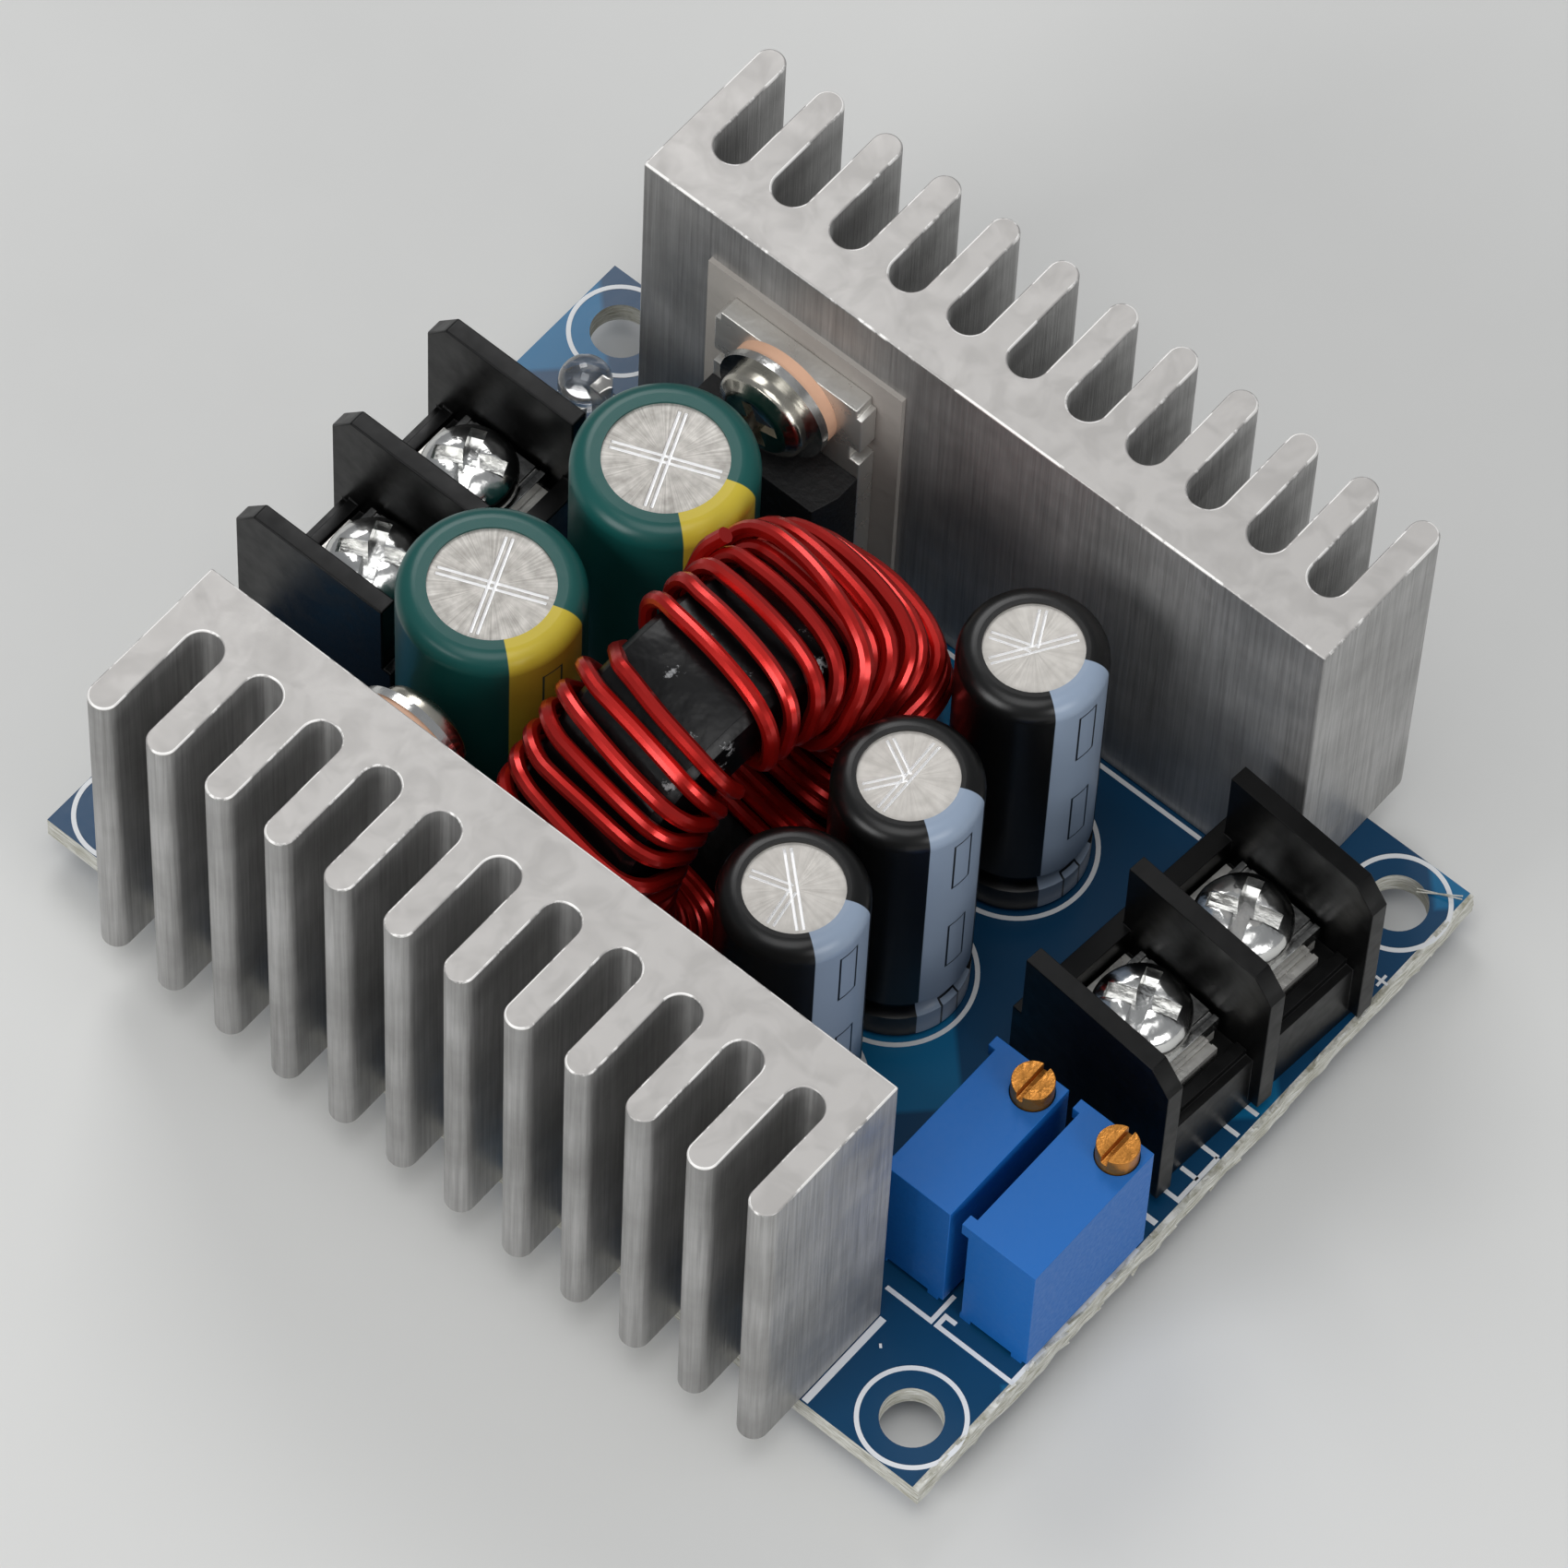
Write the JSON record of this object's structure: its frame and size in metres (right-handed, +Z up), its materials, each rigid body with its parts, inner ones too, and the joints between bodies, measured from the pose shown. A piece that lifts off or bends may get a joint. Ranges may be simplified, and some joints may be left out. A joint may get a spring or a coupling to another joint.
{
  "type": "buck converter module",
  "caption": "Step-down power converter board with finned heatsinks, toroidal choke, electrolytic capacitors, barrier screw terminals and adjusting trimmers.",
  "frame": {"origin": "middle of the footprint, on the plane that the solder joints stand on", "axes": "+X from the input terminal to the output terminal, +Y from the front heatsink to the rear one, +Z up from the board"},
  "size_m": [0.06, 0.053, 0.0283],
  "materials": {
    "solder_mask": "glossy",
    "extruded_aluminium": "satin",
    "silicone_pad": "matte",
    "tinned_metal": "satin",
    "moulded_epoxy": "matte",
    "bush_plastic": "satin",
    "nickel_plate": "bright",
    "coated_core": "satin",
    "enamelled_wire": "glossy",
    "can_aluminium": "satin",
    "green_sleeve": "satin",
    "black_sleeve": "satin",
    "bung_rubber": "matte",
    "terminal_plastic": "satin",
    "clear_epoxy": "clear",
    "trimmer_plastic": "satin",
    "brass_screw": "satin",
    "shunt_resistor": "satin",
    "chip_ceramic": "satin",
    "solder": "bright"
  },
  "bodies": {
    "module": {"circuit_board": "solder_mask", "front_heatsink": "extruded_aluminium", "rear_heatsink": "extruded_aluminium", "front_insulating_pad": "silicone_pad", "rear_insulating_pad": "silicone_pad", "front_transistor_frame": "tinned_metal", "rear_transistor_frame": "tinned_metal", "front_transistor_case": "moulded_epoxy", "rear_transistor_case": "moulded_epoxy", "front_insulating_bush": "bush_plastic", "rear_insulating_bush": "bush_plastic", "front_washer": "nickel_plate", "rear_washer": "nickel_plate", "front_tab_screw": "nickel_plate", "rear_tab_screw": "nickel_plate", "choke_core": "coated_core", "choke_winding": "enamelled_wire", "input_capacitor_1_can": "can_aluminium", "input_capacitor_1_sleeve": "green_sleeve", "input_capacitor_2_can": "can_aluminium", "input_capacitor_2_sleeve": "green_sleeve", "output_capacitor_1_can": "can_aluminium", "output_capacitor_1_sleeve": "black_sleeve", "output_capacitor_2_can": "can_aluminium", "output_capacitor_2_sleeve": "black_sleeve", "output_capacitor_3_can": "can_aluminium", "output_capacitor_3_sleeve": "black_sleeve", "capacitor_bungs": "bung_rubber", "capacitor_leads": "tinned_metal", "input_terminal_housing": "terminal_plastic", "output_terminal_housing": "terminal_plastic", "input_contact_1": "tinned_metal", "input_contact_2": "tinned_metal", "output_contact_1": "tinned_metal", "output_contact_2": "tinned_metal", "power_led_lens": "clear_epoxy", "power_led_leads": "tinned_metal", "voltage_trimmer_case": "trimmer_plastic", "current_trimmer_case": "trimmer_plastic", "voltage_trimmer_pins": "tinned_metal", "current_trimmer_pins": "tinned_metal", "controller_chip": "moulded_epoxy", "amplifier_chip": "moulded_epoxy", "current_shunt": "shunt_resistor", "chip_parts": "chip_ceramic", "solder_joints": "solder"},
    "input_clamp_1_plate": {"input_clamp_1": "nickel_plate"},
    "input_clamp_1_screw": {"input_screw_1": "nickel_plate"},
    "input_clamp_2_plate": {"input_clamp_2": "nickel_plate"},
    "input_clamp_2_screw": {"input_screw_2": "nickel_plate"},
    "output_clamp_1_plate": {"output_clamp_1": "nickel_plate"},
    "output_clamp_1_screw": {"output_screw_1": "nickel_plate"},
    "output_clamp_2_plate": {"output_clamp_2": "nickel_plate"},
    "output_clamp_2_screw": {"output_screw_2": "nickel_plate"},
    "voltage_trimmer_adjuster": {"voltage_trimmer_screw": "brass_screw"},
    "current_trimmer_adjuster": {"current_trimmer_screw": "brass_screw"}
  },
  "joints": [
    {"name": "input_clamp_1_lift", "type": "slide", "parent": "module", "child": "input_clamp_1_plate", "axis": [0, 0, 1], "range_m": [0, 0.003]},
    {"name": "input_clamp_1_turn", "type": "hinge", "parent": "input_clamp_1_plate", "child": "input_clamp_1_screw", "pos_m": [-0.0242, -0.00341, 0.0113], "axis": [0, 0, 1], "continuous": true},
    {"name": "input_clamp_2_lift", "type": "slide", "parent": "module", "child": "input_clamp_2_plate", "axis": [0, 0, 1], "range_m": [0, 0.003]},
    {"name": "input_clamp_2_turn", "type": "hinge", "parent": "input_clamp_2_plate", "child": "input_clamp_2_screw", "pos_m": [-0.0242, 0.00421, 0.0113], "axis": [0, 0, 1], "continuous": true},
    {"name": "output_clamp_1_lift", "type": "slide", "parent": "module", "child": "output_clamp_1_plate", "axis": [0, 0, 1], "range_m": [0, 0.003]},
    {"name": "output_clamp_1_turn", "type": "hinge", "parent": "output_clamp_1_plate", "child": "output_clamp_1_screw", "pos_m": [0.02328, 0.00246, 0.0113], "axis": [0, 0, 1], "continuous": true},
    {"name": "output_clamp_2_lift", "type": "slide", "parent": "module", "child": "output_clamp_2_plate", "axis": [0, 0, 1], "range_m": [0, 0.003]},
    {"name": "output_clamp_2_turn", "type": "hinge", "parent": "output_clamp_2_plate", "child": "output_clamp_2_screw", "pos_m": [0.02388, 0.01005, 0.0113], "axis": [0, 0, 1], "continuous": true},
    {"name": "voltage_trimmer_turn", "type": "hinge", "parent": "module", "child": "voltage_trimmer_adjuster", "pos_m": [0.02262, -0.00573, 0.01333], "axis": [0, 0, 1], "continuous": true},
    {"name": "current_trimmer_turn", "type": "hinge", "parent": "module", "child": "current_trimmer_adjuster", "pos_m": [0.02823, -0.00573, 0.01333], "axis": [0, 0, 1], "continuous": true}
  ],
  "couplings": [
    {"joint": "input_clamp_1_turn", "follows": "input_clamp_1_lift", "rad_per_m": 12566},
    {"joint": "input_clamp_2_turn", "follows": "input_clamp_2_lift", "rad_per_m": 12566},
    {"joint": "output_clamp_1_turn", "follows": "output_clamp_1_lift", "rad_per_m": 12566},
    {"joint": "output_clamp_2_turn", "follows": "output_clamp_2_lift", "rad_per_m": 12566}
  ]
}
